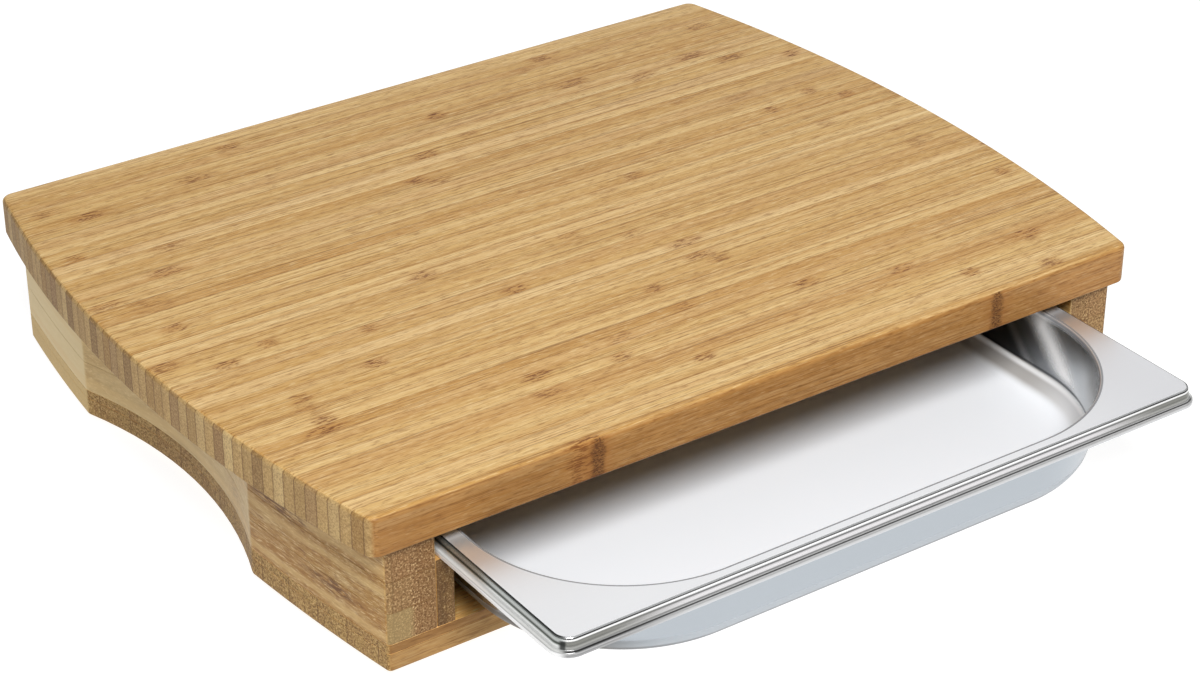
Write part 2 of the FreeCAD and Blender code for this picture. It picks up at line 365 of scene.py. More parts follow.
@dataclass(frozen=True)
class BambooFinish:
    """Oiled bamboo staves glued edge to edge.

    Lengths are millimetres. A stave is cut out of the solid, so its fibres are long streaks along the
    grain and dots across it.

    Attributes:
        name, grain: The material's name, and the way its fibres run.
        seed: Makes the fibres this finish's own.
        pitch, offset: A stave's width, and where the first one starts.
        staves, ends: Tones that staves may have, along the grain and on a sawn end.
        edge_shade_and_tint: How the outermost stave's planed face differs: its own amber tint, with painted
            shade that darkens these upright faces.
        oil: The oil's amber tint over everything.
        patch, patch_from, patch_share: Tone of the sawn end beyond a distance across, and how much shows.
        hollow_ends: Where the finger hollow starts and ends, along y.
        knuckle_every: Length of a stave that holds one knuckle.
        joints: How dark the glue lines are.
        contrast, end_contrast: Strength of the pattern, along the grain and on a sawn end.
        edge_knuckles: Places of the tall knuckles on the outermost stave's planed face.
        underside: How much darker the underside is painted, as painted shade.
        painted_top_light: How much lighter the top is painted, as painted light.
        painted_rear_light: How much paler the sawn end behind the hollow is painted, as painted light.
    """

    name: str
    grain: Grain
    seed: float
    pitch: float = 6.6
    offset: float = 0.0
    staves: Stops = shades(
        (0.0, 230, 199, 150), (0.2, 219, 185, 131), (0.45, 212, 176, 119),
        (0.7, 204, 165, 106), (0.88, 194, 150, 90), (1.0, 224, 191, 143),
    )
    ends: Stops = shades(
        (0.0, 142, 112, 74), (0.22, 170, 140, 96), (0.48, 186, 155, 108),
        (0.66, 156, 122, 76), (0.85, 204, 177, 132), (1.0, 150, 118, 82),
    )
    edge_shade_and_tint: Colour = WHITE
    oil: Colour = (1.02, 1.0, 0.87)
    patch: Colour = shade(150, 118, 80)
    patch_from: float = 175.7
    patch_share: float = 0.0
    hollow_ends: tuple[float, float] = (-30.4, 121.6)
    knuckle_every: float = 190.0
    joints: float = 0.6
    contrast: float = 1.0
    end_contrast: float = 0.5
    edge_knuckles: tuple[float, ...] = ()
    underside: float = 0.0
    painted_top_light: float = 1.0
    painted_rear_light: float = 0.0

    def build(self) -> Any:
        """Make the material.

        Returns:
            The material.
        """
        bench = NodeBench(self.name)
        x, y, z = bench.place()
        side_x, side_y, up = bench.facing()
        sideways = self.grain is Grain.SIDEWAYS
        along, across = (x, y) if sideways else (y, x)
        end_side, edge_side = (side_x, side_y) if sideways else (side_y, side_x)
        is_end = abs(end_side).rise(0.45, 0.75)
        is_edge = abs(edge_side).rise(0.45, 0.75)

        # Each stave slides along its fibres by a length of its own, so no two look alike.
        stave = (across + self.offset) / self.pitch
        number, inside = stave.floor(), stave.part()
        luck = bench.chance(number, self.seed, 0.5)
        fibre = along + luck[2] * 900.0 + self.seed * 37.0
        to_joint = bench.maths("MINIMUM", inside, 1 - inside) * self.pitch
        cut = Cut(bench, along, across, z, fibre, inside, to_joint, number, luck)

        # Noise that is drawn out along the fibres: long streaks and short dashes.
        streaks = bench.noise((fibre * 0.022, across, z), 4.0, 0.7)
        dashes = bench.noise((fibre * 0.15, across * 1.35, z * 1.35), 2.0, 0.6)
        tone = self.long_grain(cut, streaks, dashes)
        # The outermost stave's planed faces: their own amber tint and blotches, with painted shade that
        # darkens these upright faces.
        if self.edge_shade_and_tint != WHITE:
            blotch = bench.noise((fibre * 0.05, 5.0, z * 0.22), 3.0, 0.65)
            edge = bench.coats(
                bench.multiplied(tone, self.edge_shade_and_tint),
                ((blotch - 0.5) * 1.3, shade(112, 72, 34)),
                ((0.5 - blotch) * 0.9, shade(204, 156, 98)),
                # Painted shade: these faces are painted darker toward the left end.
                (along.rise(-60.0, -200.0) * 0.3, shade(118, 82, 44)),
            )
            tone = bench.mix(is_edge, tone, edge)
        tone = self.with_knuckles(cut, tone)
        for place in self.edge_knuckles:
            tone = self.with_edge_knuckle(cut, tone, is_edge, place)
        tone = bench.mix(is_end, self.local_tones(cut, tone), self.end_grain(cut))
        colour = bench.multiplied(tone, self.oil)
        # Painted light: the top is painted lighter, since little light reaches it in the bay.
        if self.painted_top_light != 1.0:
            colour = bench.mix(up.rise(0.4, 0.8), colour, bench.multiplied(colour, (self.painted_top_light,) * 3))
        # Painted shade: the underside is painted darker, which also dims the light it throws onto the tray's
        # floor.
        if self.underside:
            colour = bench.mix(up.rise(-0.4, -0.8) * self.underside, colour, shade(58, 36, 20))

        relief = streaks * 0.5 + dashes * 0.3 - (1 - to_joint.rise(0.0, 0.25)) * 0.3
        return bench.finish(
            Base_Color=colour,
            Roughness=0.48 + (streaks - 0.5) * 0.25 + is_end * 0.15,
            Specular_IOR_Level=0.22,
            Normal=bench.bump(relief, 0.4, 0.00015),
        )

    def long_grain(self, cut: Cut, streaks: Wire, dashes: Wire) -> Wire:
        """Colour of a face that the fibres run along.

        Args:
            cut: The place.
            streaks: Noise in long streaks.
            dashes: Noise in short flecks.

        Returns:
            The colour.
        """
        bench, gain = cut.bench, self.contrast
        hairs = bench.noise((cut.fibre * 0.009, cut.across * 1.5 + 30.0, cut.z * 1.5), 2.0, 0.6)
        broad = bench.noise((cut.fibre * 0.004, cut.across * 0.28, cut.z * 0.28))
        cloud = bench.noise((cut.along * 0.012 + self.seed, cut.across * 0.03, cut.z * 0.03))
        seams = bench.noise((cut.along * 0.011, cut.number * 7.3 + self.seed, 0.5), 1.0)
        skin_side = bench.maths("PINGPONG", cut.inside + cut.luck[1].rise(0.49, 0.51), 1.0)
        near = (1 - cut.to_joint.rise(0.05, 0.42)) * seams.rise(0.38, 0.62)
        return bench.coats(
            bench.ramp(cut.luck[0], self.staves),
            (skin_side * skin_side * 0.55 * gain, shade(184, 136, 78)),
            ((broad - 0.48) * 1.6 * gain, shade(176, 128, 72)),
            ((0.48 - broad) * 1.3 * gain, shade(230, 207, 166)),
            ((cloud - 0.42) * 0.7, shade(192, 150, 96)),
            ((streaks - 0.5) * 1.5 * gain, shade(142, 97, 50)),
            ((0.5 - streaks) * 1.35 * gain, shade(236, 213, 174)),
            (dashes.rise(0.53, 0.68) * 0.55 * gain, shade(136, 92, 50)),
            (dashes.rise(0.44, 0.30) * 0.36 * gain, shade(238, 217, 178)),
            (hairs.rise(0.57, 0.65) * 0.47 * gain, shade(124, 82, 42)),
            (near * self.joints, shade(112, 72, 38)),
        )

    def with_knuckles(self, cut: Cut, tone: Wire) -> Wire:
        """Add the short reddish flecks where a stave's own knuckles were planed off.

        Args:
            cut: The place.
            tone: The colour so far.

        Returns:
            The colour.
        """
        bench = cut.bench
        turn = cut.fibre / self.knuckle_every
        here, size, dark = bench.chance(cut.number, turn.floor(), self.seed + 5.0)
        gap = abs(turn.part() - 0.3 - here * 0.4) * self.knuckle_every
        wander = bench.noise((cut.along * 0.10, cut.across * 1.1, cut.z * 1.1), 2.0, 0.6)
        reach = gap / (3.0 + size * 4.6) + abs(cut.inside - 0.5) * 0.7 + (wander - 0.5) * 2.6
        strokes = bench.noise((cut.along * 0.22, cut.across * 1.5, cut.z * 1.5), 2.0, 0.7)
        strength = dark.rise(0.10, 0.9)
        halo = (1 - reach.rise(0.5, 2.1)) * strength * 0.42
        core = (1 - reach.rise(0.6, 1.5)) * strokes.rise(0.47, 0.60) * strength
        return bench.coats(tone, (halo, shade(178, 124, 66)), (core * 0.92, shade(112, 64, 28)))

    def with_edge_knuckle(self, cut: Cut, tone: Wire, is_edge: Wire, place: float) -> Wire:
        """Add a tall knuckle that the outermost stave shows on its planed face.

        Args:
            cut: The place.
            tone: The colour so far.
            is_edge: 1 on that face.
            place: Where the knuckle is along the fibres.

        Returns:
            The colour.
        """
        bench = cut.bench
        ragged = bench.noise((cut.along * 0.2, 3.0, cut.z * 0.35))
        grit = bench.noise((cut.along * 0.7, 7.0, cut.z * 1.6), 2.0, 0.7)
        gap = abs(cut.along - place + (ragged - 0.5) * 6.0)
        halo = (1 - gap.rise(2.0, 11.0)) * is_edge
        core = (1 - gap.rise(1.2, 4.6)) * is_edge
        return bench.coats(
            tone,
            (halo * 0.42, shade(150, 96, 48)),
            (core * (0.32 + grit.rise(0.42, 0.60) * 0.63), shade(80, 47, 24)),
        )

    def local_tones(self, cut: Cut, tone: Wire) -> Wire:
        """Add what one place alone has. The plain finish adds nothing."""
        return tone

    def end_grain(self, cut: Cut) -> Wire:
        """Colour of a sawn end, with its dots and glue lines.

        Args:
            cut: The place.

        Returns:
            The colour.
        """
        bench, gain = cut.bench, self.end_contrast
        one, two, _ = cut.luck
        dots = bench.noise((cut.across * 1.15, cut.z, cut.along * 0.1), 2.0, 0.8)
        grains = bench.noise((cut.across * 0.33 + 40.0, cut.z * 0.2, cut.along * 0.05))
        tone = bench.coats(
            bench.ramp((one + two * 0.5).part(), self.ends),
            ((cut.inside - 0.5) * 0.5, shade(138, 104, 66)),
            ((grains - 0.45) * 1.4 * gain, shade(140, 100, 66)),
            (dots.rise(0.50, 0.60) * 0.68 * gain, shade(84, 56, 32)),
            (dots.rise(0.45, 0.36) * 0.4 * gain, shade(228, 200, 158)),
            ((1 - cut.to_joint.rise(0.08, 0.5)) * self.joints, shade(96, 66, 40)),
        )
        # Painted light: the sawn end behind the hollow is painted paler.
        if self.painted_rear_light:
            rear = cut.across.rise(self.hollow_ends[1] - 1.0, self.hollow_ends[1] + 1.0)
            tone = bench.mix(rear * self.painted_rear_light, tone, shade(212, 186, 142))
        if self.patch_share:
            ragged = abs(cut.across) + (grains - 0.5) * 7.0 + (dots - 0.5) * 2.5
            outer = ragged.rise(self.patch_from - 1.2, self.patch_from + 1.2)
            tone = bench.mix(outer * self.patch_share, tone, self.patch)
        return tone


@dataclass(frozen=True)
class BlockFinish(BambooFinish):
    """Bamboo of a side block, whose curved side shows pale and dark strips.

    Attributes:
        strip: Height of the pale strip.
        dark_spot: Place along the fibres of a dark knuckle on the side, and its height.
        levels: The layer's underside and top, where the glue shows.
    """

    strip: float = 0.0
    dark_spot: tuple[float, float] = (0.0, -1000.0)
    levels: tuple[float, float] = (0.0, 0.0)

    def local_tones(self, cut: Cut, tone: Wire) -> Wire:
        """Add painted light that makes the hollow and the rear paler, a pale strip and a dark knuckle.

        Args:
            cut: The place.
            tone: The colour so far.

        Returns:
            The colour.
        """
        bench = cut.bench
        sway = bench.noise((cut.along * 0.02, cut.across * 0.05, cut.z * 0.12 + self.seed))
        grit = bench.noise((cut.along * 0.12, cut.across * 0.9, cut.z * 0.9), 3.0, 0.7)
        hollow, rear = (cut.along.rise(end - 1.0, end + 1.0) for end in self.hollow_ends)
        pale = (cut.z - self.strip + (sway - 0.5) * 8.0).band(0.8, 3.0)
        place, height = self.dark_spot
        reach = abs(cut.along - place) / 26.0 + abs(cut.z - height) / 5.0 + (sway - 0.5) * 2.0
        # Painted light: the hollow and the rear are painted paler, as if lit from the back left.
        return bench.coats(
            tone,
            (hollow * (0.52 + (sway - 0.5) * 0.8), shade(222, 200, 156)),
            (rear * 0.8, shade(222, 200, 156)),
            (pale * 0.45, shade(214, 184, 134)),
            ((1 - reach.rise(0.3, 1.2)) * grit.rise(0.40, 0.58) * 0.85, shade(100, 62, 32)),
        )

    def end_grain(self, cut: Cut) -> Wire:
        """Colour of a sawn end, with the glue between layers and the pale rounded inner corner.

        Args:
            cut: The place.

        Returns:
            The colour.
        """
        bench = cut.bench
        low, high = self.levels
        to_glue = bench.maths("MINIMUM", abs(cut.z - low), abs(cut.z - high))
        faint = bench.noise((cut.across * 0.25, cut.z * 0.1, self.seed), 1.0)
        return bench.coats(
            super().end_grain(cut),
            (abs(cut.across).rise(176.0, 171.0) * 0.35, shade(112, 80, 48)),
            ((1 - to_glue.rise(0.15, 0.6)) * faint.rise(0.35, 0.6) * 0.7, shade(84, 56, 32)),
            (cut.across.band(164.8, 165.2) * 0.5, shade(214, 186, 142)),
        )


@dataclass(frozen=True)
class SteelFinish:
    """Pressed stainless steel: satin flats that scatter the light, and folds and walls with painted
    reflections and shade in their colour.

    Lengths are millimetres. The rim's and the well's outlines are followed by the distance from their
    corners' axes, so that lines run evenly along the folds.

    Attributes:
        middle: The tray's middle, along y.
        rim_run, well_run: Half the distances between the corners' axes, of the rim and of the well.
        well_corner: Radius of the well's corners.
        flange_z, floor_z: Heights of the flange's top and of the well's floor.
        rim_start: Distance at which the flange turns down.
        rim_length: Length from there to the lip's lower edge, along the rim.
        front_centre, near_corner, short_side: Painted reflections and shade, as tones from the flange's edge
            to the lip's, on three stretches.
    """

    name: str = "satin_steel"
    middle: float = -71.4
    rim_run: tuple[float, float] = (153.5, 123.5)
    well_run: tuple[float, float] = (80.9, 54.6)
    well_corner: float = 70.0
    flange_z: float = 54.1
    floor_z: float = 18.4
    rim_start: float = 5.4
    rim_length: float = 11.0
    front_centre: Stops = tones(
        (0.0, 0.86, 0.87, 0.88), (0.12, 0.86, 0.87, 0.88), (0.145, 0.12), (0.175, 0.14), (0.205, 1.0),
        (0.235, 0.95), (0.27, 0.62), (0.31, 0.16), (0.345, 0.14), (0.385, 0.56, 0.55, 0.56),
        (0.45, 0.72, 0.70, 0.71), (0.53, 0.64, 0.63, 0.64), (0.57, 0.16), (0.6, 0.20), (0.65, 0.55),
        (0.69, 0.06), (0.73, 0.06), (0.77, 0.55), (0.84, 0.40), (0.9, 0.52), (1.0, 0.62, 0.63, 0.65),
    )
    near_corner: Stops = tones(
        (0.0, 0.86, 0.87, 0.88), (0.11, 0.86, 0.87, 0.88), (0.135, 0.05), (0.18, 0.07), (0.21, 0.90),
        (0.25, 0.84, 0.84, 0.82), (0.29, 0.17, 0.17, 0.16), (0.38, 0.22, 0.22, 0.20),
        (0.46, 0.15, 0.15, 0.14), (0.54, 0.34, 0.34, 0.32), (0.6, 0.24, 0.24, 0.23), (0.66, 0.32),
        (0.69, 0.03), (0.75, 0.02), (0.79, 0.20), (0.84, 0.50), (0.9, 0.22), (1.0, 0.42),
    )
    short_side: Stops = tones(
        (0.0, 0.70, 0.71, 0.71), (0.02, 0.45, 0.46, 0.46), (0.04, 0.03, 0.04, 0.03), (0.08, 0.04),
        (0.12, 0.26, 0.28, 0.27), (0.26, 0.44, 0.46, 0.45), (0.32, 0.30, 0.31, 0.30),
        (0.36, 0.06, 0.07, 0.06), (0.41, 0.05, 0.06, 0.05), (0.46, 0.42, 0.44, 0.42),
        (0.5, 0.72, 0.73, 0.72), (0.56, 0.55, 0.56, 0.55), (0.66, 0.62, 0.63, 0.62),
        (0.76, 0.76, 0.76, 0.74), (0.8, 0.50, 0.51, 0.50), (0.85, 0.84), (1.0, 0.86),
    )

    def distance(self, bench: NodeBench, x: Wire, y: Wire, run: tuple[float, float]) -> Wire:
        """Distance from the axes of a rounded rectangle's corners.

        Args:
            bench: Makes the nodes.
            x, y: The place.
            run: Half the distances between the axes.

        Returns:
            The distance.
        """
        over_x = bench.at_least(0.0, abs(x) - run[0])
        over_y = bench.at_least(0.0, abs(y - self.middle) - run[1])
        return bench.maths("SQRT", over_x * over_x + over_y * over_y)

    def build(self) -> Any:
        """Make the material.

        Returns:
            The material.
        """
        bench = NodeBench(self.name)
        x, y, z = bench.place()
        side_x, side_y, up = bench.facing()
        cloud = bench.noise((x * 0.012, y * 0.012, z * 0.012))
        lines = bench.noise((x * 0.03, y * 2.2, z * 2.2), 3.0, 0.6)
        out = self.distance(bench, x, y, self.rim_run)
        well = self.distance(bench, x, y, self.well_run)
        outward = (side_x * x + side_y * (y - self.middle)).rise(5.0, 20.0)
        height = z - self.floor_z

        # The well's inner wall, in painted reflections and shade: painted dark shade, a painted highlight and
        # a fainter one, then grey, as sway goes round each corner.
        turned = (abs(y - self.middle) - self.well_run[1]) / bench.at_least(1.0, well)
        sway = turned + (height - 20.0) * 0.017 + (cloud - 0.5) * 0.10
        wall_highlight = (sway - 0.05 + (lines - 0.5) * 0.1).band(0.0, 0.22) * height.rise(8.0, 14.0)
        faint_wall_highlight = (sway + 0.36 + (lines - 0.5) * 0.1).band(0.0, 0.09)
        drawn = bench.coats(
            (0.07, 0.072, 0.075),
            (sway.rise(-0.5, -0.12), (0.26, 0.27, 0.28)),
            (sway.rise(0.06, 0.2), (0.55, 0.57, 0.585)),
            (sway.rise(0.35, 0.75), (0.29, 0.30, 0.31)),
            (faint_wall_highlight * 0.3, (0.75, 0.76, 0.77)),
            (wall_highlight, WHITE),
        )
        # The fold at its foot, with painted shade, a painted bright line and a painted dark line where the
        # wall meets it, and the floor, which is darker toward the rear.
        fold = bench.coats(
            (0.44, 0.425, 0.41),
            (turned.rise(-0.2, 0.45), (0.80, 0.81, 0.825)),
            ((height - 6.9).band(0.2, 1.9) * 0.85, WHITE),
        )
        ground = bench.mix(y.rise(-92.0, 10.0), (0.935, 0.96, 1.0), (0.54, 0.555, 0.575))
        inside = bench.coats(
            drawn,
            (height.rise(9.2, 8.0), fold),
            (height.rise(2.4, 0.2), ground),
            ((height - 9.3).band(0.2, 0.9) * 0.75, (0.06, 0.062, 0.065)),
        )
        # The shell, seen from outside under the flange, with painted shade along its foot and a dark brown
        # painted reflection low on the short sides.
        shell = bench.coats(
            (0.44, 0.475, 0.51),
            ((lines - 0.4) * 0.3, (0.37, 0.40, 0.43)),
            (height.rise(5.0, 3.4) * 0.8, (0.10, 0.105, 0.11)),
            (height.rise(11.0, 7.0) * turned.rise(0.95, 0.6), (0.10, 0.085, 0.065)),
        )
        # Painted reflections: a dark line along the mouth's fold, and a grey one just inside it.
        mouth = (well - self.well_corner - 0.95).band(0.2, 0.6) * z.rise(52.6, 53.4)
        fold_in = (well - self.well_corner + 0.6).band(0.5, 1.0) * z.rise(50.5, 52.0)
        below = z.rise(self.flange_z - 1.2, self.flange_z - 2.2)
        colour = bench.coats(
            (0.95, 0.96, 0.98),
            (lines.rise(0.3, 0.75) * 0.15, (0.89, 0.895, 0.91)),
            # Painted shade: the flange is painted darker toward the right.
            (x.rise(50.0, 150.0) * 0.8, (0.79, 0.795, 0.82)),
            (mouth * 0.85, (0.12, 0.125, 0.135)),
            (fold_in * 0.75, (0.25, 0.26, 0.28)),
            (below, bench.mix(outward, inside, shell)),
        )

        # The rim: travel goes from 0 at the flange's edge to 1 at the lip's, and turn round each corner.
        travel = (out - self.rim_start + self.flange_z - z) / self.rim_length
        corner = abs(x).rise(95.0, 145.0) * (1 - x.rise(0.0, 1.0) * travel.rise(0.60, 0.66))
        turn = bench.at_least(0.0, abs(x) - self.rim_run[0]) / bench.at_least(0.01, out)
        # The rim's colour is painted reflections and shade: dark lines and bright bands along the folds, and
        # a painted dark spot on the step round each corner.
        rim = bench.coats(
            bench.ramp(travel, self.front_centre),
            (corner, bench.ramp(travel, self.near_corner)),
            (turn.rise(0.55, 0.9), bench.ramp(travel, self.short_side)),
            ((turn - 0.76).band(0.05, 0.17) * (travel - 0.45).band(0.14, 0.24) * 0.95, (0.02, 0.022, 0.02)),
        )
        on_rim = out.rise(self.rim_start - 0.4, self.rim_start) * outward
        on_rim = bench.maths("MAXIMUM", on_rim, out.rise(7.0, 7.3) * up.rise(0.2, 0.5))
        colour = bench.mix(on_rim, colour, rim)

        on_floor = height.rise(8.8, 7.8)
        walls = height.rise(8.0, 9.0) * (1 - outward)
        metallic = 1.0 - on_floor * 0.9 - walls * wall_highlight * 0.6
        metallic = metallic - on_rim * (0.25 + travel.rise(0.45, 0.6) * 0.45)
        metallic = metallic - (1 - outward) * (1 - below) * 0.2 - fold_in * 0.4 - mouth * 0.6
        roughness = 0.34 + (cloud - 0.5) * 0.08 + (lines - 0.5) * 0.04 - on_rim * 0.12 + on_floor * 0.2
        roughness = roughness - outward * (1 - on_rim) * 0.12 + (1 - outward) * (1 - below) * 0.08
        return bench.finish(
            Base_Color=colour,
            Metallic=metallic,
            Roughness=roughness - walls * 0.08,
            Normal=bench.bump(cloud + lines * 0.02, 0.10, 0.0006),
        )


@dataclass(frozen=True)
class RubberFinish:
    """Dull black rubber with a fine moulded grain."""

    name: str = "foot_rubber"

    def build(self) -> Any:
        """Make the material.

        Returns:
            The material.
        """
        bench = NodeBench(self.name)
        x, y, z = bench.place()
        grain = bench.noise((x * 2.5, y * 2.5, z * 2.5), 3.0, 0.6)
        dust = bench.noise((x * 0.3, y * 0.3, z * 0.3))
        colour = bench.mix(dust.rise(0.45, 0.8) * 0.5, shade(38, 37, 36), shade(66, 64, 61))
        relief = bench.bump(grain, 0.3, 0.0001)
        return bench.finish(Base_Color=colour, Roughness=0.62 + dust * 0.2, Normal=relief)


@dataclass(frozen=True)
class PlatedFinish:
    """Zinc-plated screw steel with a faint turned texture."""

    name: str = "plated_screw"

    def build(self) -> Any:
        """Make the material.

        Returns:
            The material.
        """
        bench = NodeBench(self.name)
        x, y, z = bench.place()
        wear = bench.noise((x * 1.5, y * 1.5, z * 1.5), 3.0, 0.6)
        colour = bench.mix(wear.rise(0.4, 0.8) * 0.6, shade(196, 198, 204), shade(158, 156, 150))
        relief = bench.bump(wear, 0.15, 0.00005)
        return bench.finish(Base_Color=colour, Metallic=1.0, Roughness=0.28 + wear * 0.2, Normal=relief)


@dataclass(frozen=True)
class PinFinish:
    """Plain turned hardwood with upright fibres."""

    name: str = "dowel_wood"

    def build(self) -> Any:
        """Make the material.

        Returns:
            The material.
        """
        bench = NodeBench(self.name)
        x, y, z = bench.place()
        fibres = bench.noise((x * 1.8, y * 1.8, z * 0.06), 3.0, 0.6)
        colour = bench.mix(fibres, shade(222, 190, 142), shade(178, 138, 90))
        relief = bench.bump(fibres, 0.25, 0.0001)
        return bench.finish(Base_Color=colour, Roughness=0.55 + fibres * 0.15, Normal=relief)


# ------------------------------------------------------------------- modelling


class Element(Enum):
    """What is picked in edit mode."""

    CORNER = "VERT"
    EDGE = "EDGE"
    FACE = "FACE"


@dataclass(frozen=True)
class Spot:
    """Where one corner, edge or face lies.

    Attributes:
        low, high: Its lowest and highest coordinates.
        normal: The direction it faces.
        fold: The angle between an edge's two faces.
        open: True for an edge with one face only.
    """

    low: Vector
    high: Vector
    normal: Vector
    fold: float = 0.0
    open: bool = False

    def level(self, height: float) -> bool:
        """True if it lies flat at a height."""
        return abs(self.low.z - height) < NEAR and abs(self.high.z - height) < NEAR

    def sharp_at(self, *heights: float) -> bool:
        """True for a sharp edge that lies flat at one of some heights."""
        return self.fold > SHARP and any(self.level(height) for height in heights)

    def upright(self) -> bool:
        """True for an edge that stands."""
        return self.high.z - self.low.z > NEAR and (self.high - self.low).xy.length < NEAR

    def in_row(self, *rows: float) -> bool:
        """True if it starts at one of some values of y."""
        return any(abs(self.low.y - row) < NEAR for row in rows)


class Workpiece:
    """One mesh on the bench, shaped in edit mode."""

    def __init__(self, name: str) -> None:
        """Take the object that was just added, under its new name.

        Args:
            name: The name.
        """
        self.object = bpy.context.active_object
        self.object.name = name
        self.object.data.name = name
        bpy.ops.object.transform_apply(location=True, rotation=True, scale=True)
        bpy.ops.object.mode_set(mode="EDIT")

    @staticmethod
    def clear() -> None:
        """Deselect every object."""
        if bpy.context.mode != "OBJECT":
            bpy.ops.object.mode_set(mode="OBJECT")
        bpy.ops.object.select_all(action="DESELECT")

    @classmethod
    def block(cls, name: str, low: Sequence[float], high: Sequence[float]) -> "Workpiece":
        """A block between two corners.

        Args:
            name: The piece's name.
            low, high: Its opposite corners.

        Returns:
            The piece, in edit mode.
        """
        cls.clear()
        middle = [(a + b) / 2 for a, b in zip(low, high)]
        size = [b - a for a, b in zip(low, high)]
        bpy.ops.mesh.primitive_cube_add(size=1, location=middle, scale=size)
        return cls(name)

    @classmethod
    def profile(
        cls, name: str, axis: tuple[float, float], outward: tuple[int, int], outline: Outline
    ) -> "Workpiece":
        """An outline that stands beside an upright axis, ready to be spun.

        Args:
            name: The piece's name.
            axis: Where the axis stands.
            outward: The way from the axis to the outline.
            outline: Distance from the axis and height of every point.

        Returns:
            The piece, in edit mode, with all of it selected.
        """
        cls.clear()
        away, height = outline[0]
        x, y = (middle + way * away for middle, way in zip(axis, outward))
        bpy.ops.mesh.primitive_plane_add(size=0.001, location=(x, y, height))
        piece = cls(name)
        bpy.ops.mesh.select_mode(type=Element.CORNER.value)
        bpy.ops.mesh.select_all(action="SELECT")
        bpy.ops.mesh.merge(type="CENTER")
        for here, after in zip(outline, outline[1:]):
            reach = after[0] - here[0]
            piece.draw((outward[0] * reach, outward[1] * reach, after[1] - here[1]))
        bpy.ops.mesh.select_all(action="SELECT")
        return piece

    def pick(self, kind: Element, test: Callable[[Spot], bool]) -> int:
        """Select what passes a test, and nothing else.

        Args:
            kind: What is picked.
            test: Says yes or no to each.

        Returns:
            How many were picked.
        """
        bpy.ops.mesh.select_mode(type=kind.value)
        bpy.ops.mesh.select_all(action="DESELECT")
        mesh = bmesh.from_edit_mesh(self.object.data)
        mesh.normal_update()
        items = {Element.CORNER: mesh.verts, Element.EDGE: mesh.edges, Element.FACE: mesh.faces}[kind]
        count = 0
        for item in items:
            points = [item.co] if kind is Element.CORNER else [corner.co for corner in item.verts]
            low = Vector(min(point[axis] for point in points) for axis in range(3))
            high = Vector(max(point[axis] for point in points) for axis in range(3))
            if kind is Element.EDGE:
                spot = Spot(low, high, Vector(), item.calc_face_angle(math.pi), len(item.link_faces) == 1)
            else:
                spot = Spot(low, high, item.normal.copy())
            if test(spot):
                item.select_set(True)
                count += 1
        mesh.select_flush_mode()
        bmesh.update_edit_mesh(self.object.data)
        return count

    def take(self, *others: "Workpiece") -> None:
        """Select this piece and others in object mode, with this one as the active one.

        Args:
            others: The other pieces.
        """
        self.clear()
        for piece in (self, *others):
            piece.object.select_set(True)
        bpy.context.view_layer.objects.active = self.object

    def copy(self, name: str, move: Sequence[float] = (0, 0, 0), mirrored: bool = False) -> "Workpiece":
        """Copy the piece, with a mesh of its own.

        Args:
            name: The copy's name.
            move: How far it is moved.
            mirrored: Whether it is turned over from the left side to the right.

        Returns:
            The copy, in edit mode.
        """
        self.take()
        bpy.ops.object.duplicate(linked=False)
        twin = Workpiece(name)
        bpy.ops.mesh.select_all(action="SELECT")
        twin.shift(move)
        if mirrored:
            bpy.ops.transform.resize(value=(-1, 1, 1), center_override=(0, 0, 0))
            bpy.ops.mesh.flip_normals()
        return twin

    def join(self, *others: "Workpiece") -> None:
        """Join other pieces to this one."""
        self.take(*others)
        bpy.ops.object.join()

    def draw(self, move: Sequence[float]) -> None:
        """Extrude what is selected along a vector."""
        bpy.ops.mesh.extrude_region_move(TRANSFORM_OT_translate={"value": tuple(move)})

    def shift(self, move: Sequence[float]) -> None:
        """Move what is selected."""
        bpy.ops.transform.translate(value=tuple(move))

    def weld(self, distance: float) -> None:
        """Merge the corners that lie closer than a distance."""
        bpy.ops.mesh.select_all(action="SELECT")
        bpy.ops.mesh.remove_doubles(threshold=distance)

    def round(self, radius: float, steps: int, test: Callable[[Spot], bool]) -> None:
        """Round edges.

        Args:
            radius: The radius.
            steps: How many facets it has.
            test: Picks the edges.
        """
        if not self.pick(Element.EDGE, test):
            log.warning("%s: no edge to round", self.object.name)
        bpy.ops.mesh.bevel(offset=radius, offset_type="OFFSET", segments=steps, profile=0.5, affect="EDGES")

    def done(self, material: Any, body: str, slot: str, *nodes: str, smooth: float = 38.0) -> None:
        """Leave edit mode, smooth and dress the piece, and put it in the frame.

        Args:
            material: Its material.
            body: The CAD body that it moves with.
            slot: The record's material slot. Not used.
            nodes: The CAD nodes that it stands for.
            smooth: Edges that turn less than this many degrees are shaded smooth.
        """
        self.take()
        bpy.ops.object.shade_smooth_by_angle(angle=math.radians(smooth))
        self.modify("WEIGHTED_NORMAL", keep_sharp=True)
        self.object.data.materials.clear()
        self.object.data.materials.append(material)
        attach(self.object, body)
        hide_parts(*nodes)
        log.info("%s: %d faces", self.object.name, len(self.object.data.polygons))

    def modify(self, kind: str, **settings: Any) -> None:
        """Apply a modifier.

        Args:
            kind: Its type.
            settings: Its properties.
        """
        modifier = self.object.modifiers.new(kind.lower(), kind)
        for key, value in settings.items():
            setattr(modifier, key, value)
        bpy.ops.object.modifier_apply(modifier=modifier.name)


# --------------------------------------------------------------- the wood parts


class Choice(Enum):
    """A choice whose word is part of a piece's name."""

    @property
    def word(self) -> str:
        """The choice in small letters."""
        return self.name.lower()


class Side(Choice):
    """A side of the object, by the sign of x."""

    LEFT = -1
    RIGHT = 1


class Layer(Choice):
    """A layer of a side block, counted from the lowest."""

    LOWER = 0
    MIDDLE = 1
    UPPER = 2


